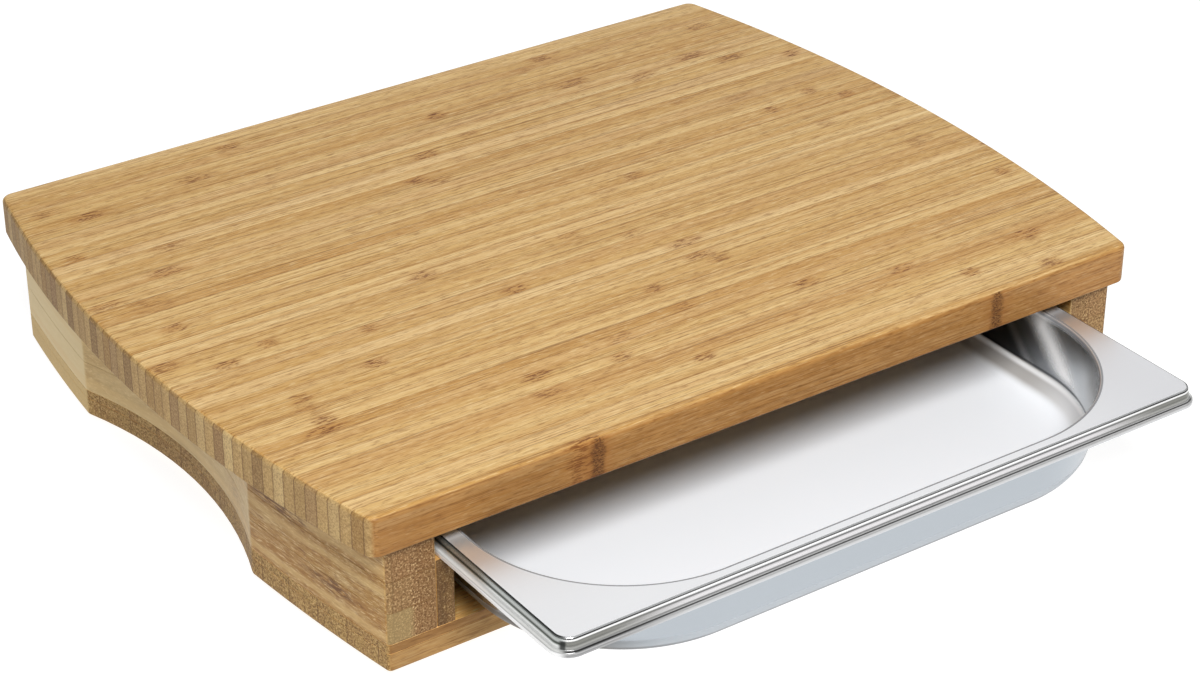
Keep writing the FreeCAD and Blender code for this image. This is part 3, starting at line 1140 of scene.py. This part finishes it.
class Slab(Workpiece):
    """A flat piece of wood."""

    @classmethod
    def bar(cls, name: str, low: Sequence[float], high: Sequence[float], radius: float) -> "Slab":
        """A straight bar with softened edges.

        Args:
            name: The piece's name.
            low, high: Its opposite corners.
            radius: The edges' radius.

        Returns:
            The bar, in edit mode.
        """
        piece = cls.block(name, low, high)
        piece.divide([(low[1] + high[1]) / 2])
        piece.round(radius, 3, lambda spot: spot.fold > SHARP)
        return piece

    def divide(self, rows: Sequence[float]) -> None:
        """Cut the piece across.

        Args:
            rows: Values of y.
        """
        for row in rows:
            bpy.ops.mesh.select_all(action="SELECT")
            bpy.ops.mesh.bisect(plane_co=(0, row, 0), plane_no=(0, 1, 0))

    def bend(self, sides: Sequence[Side], corner: float, reach: Curve, rows: Sequence[float]) -> None:
        """Divide the piece, and move its sides out to their curve.

        Args:
            sides: The sides.
            corner: Half width at the corners, where the sides are now.
            reach: Half width at y.
            rows: Where the piece is divided.
        """
        self.divide(rows)
        for side in sides:
            for row in rows:
                self.pick(
                    Element.CORNER,
                    lambda spot: spot.in_row(row) and abs(side.value * spot.low.x - corner) < NEAR,
                )
                self.shift((side.value * (reach(row) - corner), 0, 0))


@dataclass(frozen=True)
class Bow:
    """A side that swells between its corners.

    Attributes:
        corner: Half width at the corners.
        swell: How far the middle stands out beyond them.
        depth: Distance between the corners.
    """

    corner: float
    swell: float
    depth: float

    def reach(self, y: float) -> float:
        """Half width at y."""
        radius = ((self.depth / 2) ** 2 + self.swell ** 2) / (2 * self.swell)
        return self.corner + self.swell - radius + math.sqrt(radius ** 2 - (y - MIDDLE_Y) ** 2)


@dataclass(frozen=True)
class BaseShape:
    """The base's outline: bowed sides, each with a shallow hollow for the fingers.

    Attributes:
        bow: The sides without their hollows.
        start, length: Where the hollow starts along y, and its length.
        deepest: Half width at the hollow's middle.
        front, back: The base's ends.
        inner: Half the bay's width.
        corner_radius, hollow_radius: Radii of the upright edges at the base's and the hollow's ends.
    """

    bow: Bow = Bow(0.187, 0.0135, 0.322)
    start: float = -0.0304
    length: float = 0.152
    deepest: float = 0.1842
    front: float = -0.1205
    back: float = 0.2015
    inner: float = 0.1645
    corner_radius: float = 0.0018
    hollow_radius: float = 0.0012

    def reach(self, y: float) -> float:
        """Half width at y.

        Args:
            y: The place.

        Returns:
            The half width.
        """
        end = self.start + self.length
        if not self.start < y < end:
            return self.bow.reach(y)
        first, last = self.bow.reach(self.start), self.bow.reach(end)
        share = (y - self.start) / self.length
        chord = first + (last - first) * share
        depth = (first + last) / 2 - self.deepest
        radius = ((self.length / 2) ** 2 + depth ** 2) / (2 * depth)
        return chord - (math.sqrt(radius ** 2 - (y - self.start - self.length / 2) ** 2) - radius + depth)

    def rows(self) -> list[float]:
        """Where the sides are divided.

        Returns:
            Values of y, the hollow's ends among them.
        """
        end = self.start + self.length
        rows = []
        for first, last, count in ((self.front, self.start, 7), (self.start, end, 16), (end, self.back, 7)):
            rows += [first + (last - first) * step / count for step in range(1, count + 1)]
        return rows[:-1]

    def is_outer(self, spot: Spot) -> bool:
        """True for an upright edge that isn't on the bay's side."""
        return spot.upright() and abs(spot.low.x) > self.inner + NEAR

    def slab(self, name: str, low: float, high: float, sides: Sequence[Side]) -> Slab:
        """Model a slab of this outline.

        Args:
            name: The piece's name.
            low, high: Its underside and top.
            sides: Its bowed sides. With the left one alone, it ends at the bay.

        Returns:
            The slab, in edit mode, with its outer upright edges rounded.
        """
        corner = self.bow.corner
        right = corner if Side.RIGHT in sides else -self.inner
        piece = Slab.block(name, (-corner, self.front, low), (right, self.back, high))
        piece.bend(sides, corner, self.reach, self.rows())
        turns = (self.start, self.start + self.length)
        piece.round(self.hollow_radius, 4, lambda spot: self.is_outer(spot) and spot.in_row(*turns))
        ends = (self.front, self.back)
        piece.round(self.corner_radius, 5, lambda spot: self.is_outer(spot) and spot.in_row(*ends))
        return piece


@dataclass
class TopBoard:
    """The thick board, of narrow staves on edge."""

    bow: Bow = Bow(0.194, 0.018, 0.3268)
    front: float = -0.1229
    back: float = 0.2039
    low: float = 0.0589
    high: float = 0.0769
    corner_radius: float = 0.0045
    top_radius: float = 0.0022
    under_radius: float = 0.0009
    rows: int = 30

    def build(self) -> None:
        """Model the board and dress it."""
        corner = self.bow.corner
        board = Slab.block("board", (-corner, self.front, self.low), (corner, self.back, self.high))
        step = (self.back - self.front) / self.rows
        rows = [self.front + step * count for count in range(1, self.rows)]
        board.bend(tuple(Side), corner, self.bow.reach, rows)
        board.round(self.corner_radius, 8, lambda spot: spot.upright() and spot.in_row(self.front, self.back))
        board.round(self.top_radius, 6, lambda spot: spot.sharp_at(self.high))
        board.round(self.under_radius, 3, lambda spot: spot.sharp_at(self.low))
        finish = BambooFinish(
            "board_bamboo",
            Grain.SIDEWAYS,
            seed=3.0,
            # Painted shade darkens the board's upright faces, beside their own amber tint.
            edge_shade_and_tint=(0.71, 0.61, 0.53),
            edge_knuckles=(-90.0, 118.0),
            # Painted shade on the underside.
            underside=0.6,
        )
        board.done(finish.build(), BASE, BAMBOO, "top_board")


@dataclass
class SideBlocks:
    """The side blocks: three glued layers each with the finger hollow, and the strips inside them.

    One layer, one runner and one stop are modelled on the left. The others are copies of them.
    """

    shape: BaseShape = BaseShape()
    floor: float = 0.0151
    thickness: float = 0.0146
    inner_radius: float = 0.0009
    sanding: float = 0.00022
    runner_width: float = 0.0082
    runner_top: float = 0.0465
    runner_back: float = 0.1835
    stop_front: float = 0.1448
    stop_top: float = 0.0555
    strip_radius: float = 0.0004

    def build(self) -> None:
        """Model the layers, the runners and their stops."""
        first = self.shape_layer()
        layers = []
        for side in Side:
            for layer in Layer:
                name, move = f"{side.word}_layer_{layer.word}", (0, 0, layer.value * self.thickness)
                is_first = side is Side.LEFT and layer is Layer.LOWER
                piece = first if is_first else first.copy(name, move, side is Side.RIGHT)
                layers.append((side, layer, piece))
        for side, layer, piece in layers:
            finish = self.layer_finish(side, layer)
            piece.done(finish.build(), BASE, BAMBOO, f"{side.word}_block_{layer.word}")
        runner = self.shape_strip("runner", self.shape.front, self.floor, self.runner_top)
        stop = self.shape_strip("stop", self.stop_front, self.runner_top, self.stop_top)
        for kind, strip, seed in (("runner", runner, 21.0), ("stop", stop, 23.0)):
            twin = strip.copy(f"right_{kind}_strip", mirrored=True)
            for side, piece in ((Side.LEFT, strip), (Side.RIGHT, twin)):
                finish = self.strip_finish(side, kind, seed)
                piece.done(finish.build(), BASE, BAMBOO, f"{side.word}_{kind}")

    def shape_layer(self) -> Slab:
        """Model the lowest layer on the left.

        Returns:
            The layer, in edit mode.
        """
        low, high = self.floor, self.floor + self.thickness
        piece = self.shape.slab("left_layer_lower", low, high, (Side.LEFT,))
        piece.round(
            self.inner_radius, 4,
            lambda spot: spot.upright() and not self.shape.is_outer(spot) and spot.in_row(self.shape.front),
        )
        piece.round(self.sanding, 2, lambda spot: spot.sharp_at(low, high))
        return piece

    def shape_strip(self, kind: str, front: float, low: float, high: float) -> Slab:
        """Model a strip on the left.

        Args:
            kind: Its name.
            front: Where it starts.
            low, high: Its underside and top.

        Returns:
            The strip, in edit mode.
        """
        near = (-self.shape.inner, front, low)
        far = (self.runner_width - self.shape.inner, self.runner_back, high)
        return Slab.bar(f"left_{kind}_strip", near, far, self.strip_radius)

    def layer_finish(self, side: Side, layer: Layer) -> BlockFinish:
        """Finish of one layer, each out of its own bamboo.

        Args:
            side: The side that it is on.
            layer: Which one it is.

        Returns:
            The finish.
        """
        left_ends = shades((0.0, 146, 116, 80), (0.5, 138, 106, 72), (1.0, 134, 100, 68))
        right_ends = shades((0.0, 166, 134, 96), (0.5, 160, 126, 88), (1.0, 154, 120, 84))
        index = layer.value
        low = self.floor + self.thickness * index
        return BlockFinish(
            f"{side.word}_{layer.word}_bamboo",
            Grain.DEPTHWAYS,
            seed=5.0 + 3.0 * index + side.value,
            pitch=30.0,
            offset=4.3,
            staves=shades((0.0, 171, 136, 79), (0.5, 165, 127, 71), (1.0, 159, 118, 63)),
            ends=left_ends if side is Side.LEFT else right_ends,
            contrast=1.15,
            end_contrast=1.4,
            strip=(19.0, 40.0, 49.0)[index],
            dark_spot=((-88.0, 26.5), (20.0, 41.0), (-60.0, 47.0))[index],
            patch=(shade(148, 128, 90), shade(140, 112, 76), shade(138, 104, 70))[index],
            patch_share=(0.65, 0.3, 0.3)[index],
            levels=(low * MM, (low + self.thickness) * MM),
        )

    def strip_finish(self, side: Side, kind: str, seed: float) -> BambooFinish:
        """Finish of one strip, a single stave wide.

        Args:
            side: The side that it is on.
            kind: Its name.
            seed: Makes its fibres its own.

        Returns:
            The finish.
        """
        return BambooFinish(
            f"{side.word}_{kind}_bamboo",
            Grain.DEPTHWAYS,
            seed=seed + side.value,
            pitch=STRIP_STAVE,
            offset=-side.value * (self.shape.inner * MM - STRIP_STAVE) % STRIP_STAVE,
            ends=shades((0.0, 118, 88, 54), (0.5, 122, 92, 56), (1.0, 112, 82, 48)),
            end_contrast=0.9,
            patch=shade(64, 40, 20),
            patch_from=160.4,
            patch_share=0.5,
        )


@dataclass
class BasePanel:
    """The two plies under the bay, and the rail that closes its back."""

    shape: BaseShape = BaseShape()
    levels: tuple[float, float, float] = (0.0025, 0.0108, 0.0151)
    under_radius: float = 0.0007
    sanding: float = 0.0002
    rail_front: float = 0.1835
    rail_top: float = 0.0589
    rail_radius: float = 0.0005

    def build(self) -> None:
        """Model both plies and the rail."""
        low, middle, high = self.levels
        self.build_ply("lower", low, middle, self.under_radius, (0.58, 0.54, 0.50), 31.0)
        self.build_ply("upper", middle, high, self.sanding, (0.42, 0.36, 0.31), 35.0)
        inner = self.shape.inner
        near, far = (-inner, self.rail_front, high), (inner, self.shape.back, self.rail_top)
        rail = Slab.bar("rear_rail", near, far, self.rail_radius)
        start = -self.rail_front * MM % STRIP_STAVE
        finish = BambooFinish("rail_bamboo", Grain.SIDEWAYS, seed=41.0, pitch=STRIP_STAVE, offset=start)
        rail.done(finish.build(), BASE, BAMBOO, "back_rail")

    def build_ply(self, level: str, low: float, high: float, under: float, tint: Colour, seed: float) -> None:
        """Model one ply.

        Args:
            level: Its name.
            low, high: Its underside and top.
            under: Radius of its lower edges.
            tint: The tone of its front edge: the ply's own tint, with painted shade that darkens it.
            seed: Makes its fibres its own.
        """
        ply = self.shape.slab(f"panel_{level}", low, high, tuple(Side))
        ply.round(self.sanding, 2, lambda spot: spot.sharp_at(high))
        ply.round(under, 3, lambda spot: spot.sharp_at(low))
        finish = BambooFinish(
            f"panel_{level}_bamboo",
            Grain.SIDEWAYS,
            seed=seed,
            pitch=19.0,
            oil=(1.1, 1.06, 0.84),
            ends=shades((0.0, 160, 130, 86), (0.5, 168, 137, 92), (1.0, 152, 120, 79)),
            end_contrast=1.0,
            # Painted shade darkens the front edge, beside the ply's own tint.
            edge_shade_and_tint=tint,
            knuckle_every=230.0,
            # Painted light: the top is painted lighter, since little light reaches the bay.
            painted_top_light=1.6,
            # Painted light on the sawn ends behind the hollow.
            painted_rear_light=0.75,
        )
        ply.done(finish.build(), BASE, BAMBOO, f"base_panel_{level}")


# -------------------------------------------------------------------- the tray


@dataclass
class PressedTray:
    """The drawn steel tray: a deep well, a flat flange, a step and a turned-down lip.

    Each wall is drawn as an outline in the plane of a corner, spun round the four corners and pulled
    along the sides between them. The outline's points are a distance from the corner's axis and a height.

    Attributes:
        lip_low, ledge, flange, floor: Heights.
        ledge_width, step_lean, well_lean: How far the ledge, the step and the well's wall reach in.
        rim_corner, well_corner, fold, inner_fold, floor_fold: Radii.
        rim_strip, mouth_strip, floor_strip: Widths of the flat bands that end the outlines.
        corner_steps: Facets in each of the four corners.
        rim_steps, well_steps: Facets in each fold of the rim and of the well.
    """

    half_width: float = 0.1625
    half_length: float = 0.1325
    middle: float = -0.0714
    lip_low: float = 0.0468
    ledge: float = 0.0489
    flange: float = 0.0541
    floor: float = 0.0184
    sheet: float = 0.0008
    ledge_width: float = 0.0016
    step_lean: float = 0.0009
    rim_corner: float = 0.009
    flange_side: float = 0.0091
    flange_end: float = 0.0054
    well_corner: float = 0.070
    well_lean: float = 0.003
    fold: float = 0.001
    inner_fold: float = 0.0006
    floor_fold: float = 0.010
    rim_strip: float = 0.0022
    mouth_strip: float = 0.0020
    floor_strip: float = 0.0125
    corner_steps: int = 32
    rim_steps: int = 6
    well_steps: int = 10
    weld: float = 0.00001

    @staticmethod
    def rounded(points: Sequence[tuple[float, float, float]], steps: int) -> Outline:
        """Outline with its corners rounded.

        Args:
            points: Distance, height and radius at each corner.
            steps: Facets in each corner.

        Returns:
            Distance and height of every point.
        """
        outline = []
        for index, (across, height, radius) in enumerate(points):
            here = Vector((across, height))
            if radius == 0:
                outline.append((across, height))
                continue
            before = (Vector(points[index - 1][:2]) - here).normalized()
            after = (Vector(points[index + 1][:2]) - here).normalized()
            turn = math.pi - before.angle(after)
            reach = radius * math.tan(turn / 2)
            centre = here + (before + after).normalized() * (radius / math.cos(turn / 2))
            start = here + before * reach - centre
            sign = 1 if before.x * after.y - before.y * after.x < 0 else -1
            for step in range(steps + 1):
                turned = Matrix.Rotation(sign * turn * step / steps, 2) @ start
                outline.append(tuple(centre + turned))
        return outline

    def wall(self, name: str, half_x: float, half_y: float, radius: float, outline: Outline) -> Workpiece:
        """Spin an outline round the corners of a rounded rectangle.

        Args:
            name: The piece's name.
            half_x, half_y: Half the rectangle's sides.
            radius: Its corner radius.
            outline: Distance from the corner's axis and height of every point.

        Returns:
            The piece, in edit mode.
        """
        run_x, run_y = half_x - radius, half_y - radius
        piece = Workpiece.profile(name, (run_x, self.middle - run_y), (0, -1), outline)
        corners = ((1, -1), (1, 1), (-1, 1), (-1, -1))
        pulls = ((0, 2 * run_y), (-2 * run_x, 0), (0, -2 * run_y), (2 * run_x, 0))
        for (side_x, side_y), (pull_x, pull_y) in zip(corners, pulls):
            bpy.ops.mesh.spin(
                steps=self.corner_steps,
                angle=math.pi / 2,
                center=(side_x * run_x, self.middle + side_y * run_y, 0),
                axis=(0, 0, -1),
            )
            piece.draw((pull_x, pull_y, 0))
        piece.weld(self.weld)
        return piece

    def build(self) -> None:
        """Model the tray and dress it."""
        flange_x = self.ledge_width + self.step_lean
        rim_outline = (
            (self.rim_corner, self.lip_low, 0),
            (self.rim_corner, self.ledge, self.fold),
            (self.rim_corner - self.ledge_width, self.ledge, self.inner_fold),
            (self.rim_corner - flange_x, self.flange, self.fold),
            (self.rim_corner - flange_x - self.rim_strip, self.flange, 0),
        )
        well_outline = (
            (self.well_corner + self.mouth_strip, self.flange, 0),
            (self.well_corner, self.flange, self.fold),
            (self.well_corner - self.well_lean, self.floor, self.floor_fold),
            (self.well_corner - self.well_lean - self.floor_strip, self.floor, 0),
        )
        mouth_x = self.half_width - flange_x - self.flange_side
        mouth_y = self.half_length - flange_x - self.flange_end
        rim_outline = self.rounded(rim_outline, self.rim_steps)
        well_outline = self.rounded(well_outline, self.well_steps)
        rim = self.wall("rim", self.half_width, self.half_length, self.rim_corner, rim_outline)
        tray = self.wall("steel_tray", mouth_x, mouth_y, self.well_corner, well_outline)
        tray.join(rim)
        bpy.ops.object.mode_set(mode="EDIT")
        tray.pick(Element.EDGE, lambda spot: spot.open and spot.level(self.flange))
        bpy.ops.mesh.bridge_edge_loops()
        tray.pick(Element.EDGE, lambda spot: spot.open and spot.level(self.floor))
        bpy.ops.mesh.edge_face_add()
        tray.weld(self.weld)
        bpy.ops.mesh.normals_make_consistent(inside=False)
        if tray.pick(Element.FACE, lambda spot: spot.level(self.floor) and spot.normal.z < 0):
            bpy.ops.mesh.select_all(action="SELECT")
            bpy.ops.mesh.flip_normals()
        tray.take()
        tray.modify("SOLIDIFY", thickness=self.sheet, offset=-1.0, use_even_offset=True, use_rim=True)
        tray.done(SteelFinish().build(), TRAY, "tray_steel", "tray", smooth=40.0)


# -------------------------------------------------------------- feet and screws


@dataclass
class FootSet:
    """The four rubber feet and the countersunk screws in them.

    Attributes:
        lean: How far a foot's side leans in.
        seat, head, shank: Radii of the screw's seat, head and shank.
        in_panel: How far the screw goes into the panel.
        foot_steps, screw_steps: Facets round each.
    """

    places: tuple[tuple[str, float, float], ...] = (
        ("front_left", -0.161, -0.0945),
        ("front_right", 0.161, -0.0945),
        ("back_left", -0.161, 0.1755),
        ("back_right", 0.161, 0.1755),
    )
    radius: float = 0.009
    height: float = 0.0025
    lean: float = 0.0008
    seat: float = 0.0033
    head: float = 0.0032
    head_depth: float = 0.0014
    shank: float = 0.0015
    in_panel: float = 0.007
    foot_steps: int = 48
    screw_steps: int = 24
    weld: float = 0.000004

    def spun(self, name: str, outline: Outline, steps: int) -> Workpiece:
        """Turn an outline about the first foot's axis.

        Args:
            name: The piece's name.
            outline: Distance from the axis and height of each point.
            steps: How many facets it has.

        Returns:
            The piece, in edit mode.
        """
        _, x, y = self.places[0]
        piece = Workpiece.profile(name, (x, y), (1, 0), outline)
        bpy.ops.mesh.spin(steps=steps, angle=2 * math.pi, center=(x, y, 0), axis=(0, 0, 1))
        piece.weld(self.weld)
        bpy.ops.mesh.normals_make_consistent(inside=False)
        return piece

    def build(self) -> None:
        """Model the feet and screws."""
        seat_z = self.height - self.head_depth
        side = self.radius - self.lean
        foot_outline = (
            (self.seat + 0.0004, 0.0),
            (side - 0.0006, 0.0),
            (side - 0.0001, 0.0003),
            (self.radius - 0.0002, self.height - 0.0003),
            (self.radius - 0.0004, self.height),
            (self.shank + 0.0001, self.height),
            (self.seat, seat_z),
            (self.seat, 0.0004),
            (self.seat + 0.0004, 0.0),
        )
        top = self.height + self.in_panel
        screw_outline = (
            (0.0, seat_z + 0.0009),
            (0.0006, seat_z + 0.0008),
            (0.0014, seat_z),
            (self.head - 0.0003, seat_z),
            (self.head, seat_z + 0.0002),
            (self.shank, self.height),
            (self.shank, top - 0.001),
            (0.0006, top),
            (0.0, top),
        )
        first, x, y = self.places[0]
        foot = self.spun(f"rubber_foot_{first}", foot_outline, self.foot_steps)
        screw = self.spun("countersunk_screws", screw_outline, self.screw_steps)
        feet = {first: foot}
        screws = []
        for name, far_x, far_y in self.places[1:]:
            move = (far_x - x, far_y - y, 0)
            feet[name] = foot.copy(f"rubber_foot_{name}", move)
            screws.append(screw.copy(f"screw_{name}", move))
        rubber = RubberFinish().build()
        for name, piece in feet.items():
            piece.done(rubber, BASE, "rubber", f"foot_{name}")
        screw.join(*screws)
        screw.done(PlatedFinish().build(), BASE, "screw_steel", "foot_screws")


@dataclass
class DowelSet:
    """The hidden pins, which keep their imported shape."""

    node: str = "dowels"

    def build(self) -> None:
        """Dress the pins."""
        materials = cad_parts[self.node].data.materials
        finish = PinFinish().build()
        if not materials:
            materials.append(finish)
        for index in range(len(materials)):
            materials[index] = finish
        log.info("%s: dressed", self.node)


# ------------------------------------------------------------------- the studio


@dataclass
class Studio:
    """White sweep, soft light and the camera.

    Attributes:
        eye, azimuth, elevation, roll: Where the camera stands, and its direction in degrees.
        room, floor_glow: Strength of the even surroundings, and of the floor's glow.
        lamps: Name, place, width and power of each lamp.
    """

    eye: Vector = field(default_factory=lambda: Vector((-0.650433, -0.931477, 0.687984)))
    lens: float = 88.45
    azimuth: float = -34.765
    elevation: float = 29.886
    roll: float = 0.063
    near: float = 0.01
    far: float = 50.0
    room: float = 0.14
    floor_size: float = 14.0
    floor_glow: float = 0.91
    aim: tuple[float, float, float] = (0, 0, 0.05)
    lamps: tuple[tuple[str, tuple[float, float, float], float, float], ...] = (
        ("key", (-0.505, -1.20, 1.65), 0.85, 47.5),
        ("behind", (0.80, 0.95, 0.88), 1.4, 4.6),
    )

    def build(self) -> None:
        """Make floor, lights and camera."""
        self.build_floor()
        self.build_world()
        for name, place, size, power in self.lamps:
            self.build_lamp(name, place, size, power)
        self.build_camera()
        bpy.context.scene.view_settings.view_transform = "Standard"
        log.info("studio: floor, %d lamps and camera", len(self.lamps))

    def build_floor(self) -> None:
        """Make the pale floor."""
        Workpiece.clear()
        bpy.ops.mesh.primitive_plane_add(size=self.floor_size, location=(0, 0, 0))
        floor = bpy.context.active_object
        floor.name = "studio_floor"
        bench = NodeBench("pale_floor")
        x, y, _ = bench.place()
        cloud = bench.noise((x * 0.004, y * 0.004, 0.0))
        material = bench.finish(
            Base_Color=bench.mix(cloud * 0.4, (0.25, 0.25, 0.25), (0.23, 0.23, 0.23)),
            Roughness=0.9,
            Specular_IOR_Level=0.0,
            Emission_Color=WHITE,
            Emission_Strength=self.floor_glow,
        )
        floor.data.materials.append(material)

    def build_world(self) -> None:
        """Make the even surroundings: a dim room, with a white backdrop behind everything."""
        world = bpy.data.worlds.new("white_room")
        world.use_nodes = True
        nodes, links = world.node_tree.nodes, world.node_tree.links
        room, backdrop = nodes["Background"], nodes.new("ShaderNodeBackground")
        for background, strength in ((room, self.room), (backdrop, 1.0)):
            background.inputs["Color"].default_value = (*WHITE, 1.0)
            background.inputs["Strength"].default_value = strength
        seen, either = nodes.new("ShaderNodeLightPath"), nodes.new("ShaderNodeMixShader")
        links.new(seen.outputs["Is Camera Ray"], either.inputs["Fac"])
        links.new(room.outputs["Background"], either.inputs[1])
        links.new(backdrop.outputs["Background"], either.inputs[2])
        links.new(either.outputs["Shader"], nodes["World Output"].inputs["Surface"])
        bpy.context.scene.world = world

    def build_lamp(self, name: str, place: Sequence[float], size: float, power: float) -> None:
        """Make one soft lamp.

        Args:
            name: Its name.
            place: Where it hangs.
            size: The side of its square face.
            power: Its power in watts.
        """
        light = bpy.data.lights.new(name, "AREA")
        light.size = size
        light.energy = power
        lamp = bpy.data.objects.new(name, light)
        lamp.location = place
        lamp.rotation_mode = "QUATERNION"
        lamp.rotation_quaternion = (Vector(self.aim) - Vector(place)).to_track_quat("-Z", "Y")
        bpy.context.scene.collection.objects.link(lamp)

    def build_camera(self) -> None:
        """Make the camera."""
        turn, rise, roll = (math.radians(angle) for angle in (self.azimuth, self.elevation, self.roll))
        back = Vector((math.sin(turn) * math.cos(rise), -math.cos(turn) * math.cos(rise), math.sin(rise)))
        right = (-back).cross(Vector((0, 0, 1))).normalized()
        up = right.cross(-back)
        level = right * math.cos(roll) + up * math.sin(roll)
        upright = up * math.cos(roll) - right * math.sin(roll)
        data = bpy.data.cameras.new("camera")
        data.sensor_width = 36.0
        data.lens = self.lens
        data.clip_start = self.near
        data.clip_end = self.far
        camera = bpy.data.objects.new("camera", data)
        columns = Matrix((level, upright, back)).transposed().to_4x4()
        camera.matrix_world = Matrix.Translation(self.eye) @ columns
        bpy.context.scene.collection.objects.link(camera)
        bpy.context.scene.camera = camera


def main() -> None:
    """Build everything in order."""
    logging.basicConfig(level=logging.INFO, format="%(message)s")
    for maker in (Studio, TopBoard, SideBlocks, BasePanel, PressedTray, FootSet, DowelSet):
        maker().build()
    Workpiece.clear()


if __name__ == "__main__":
    main()
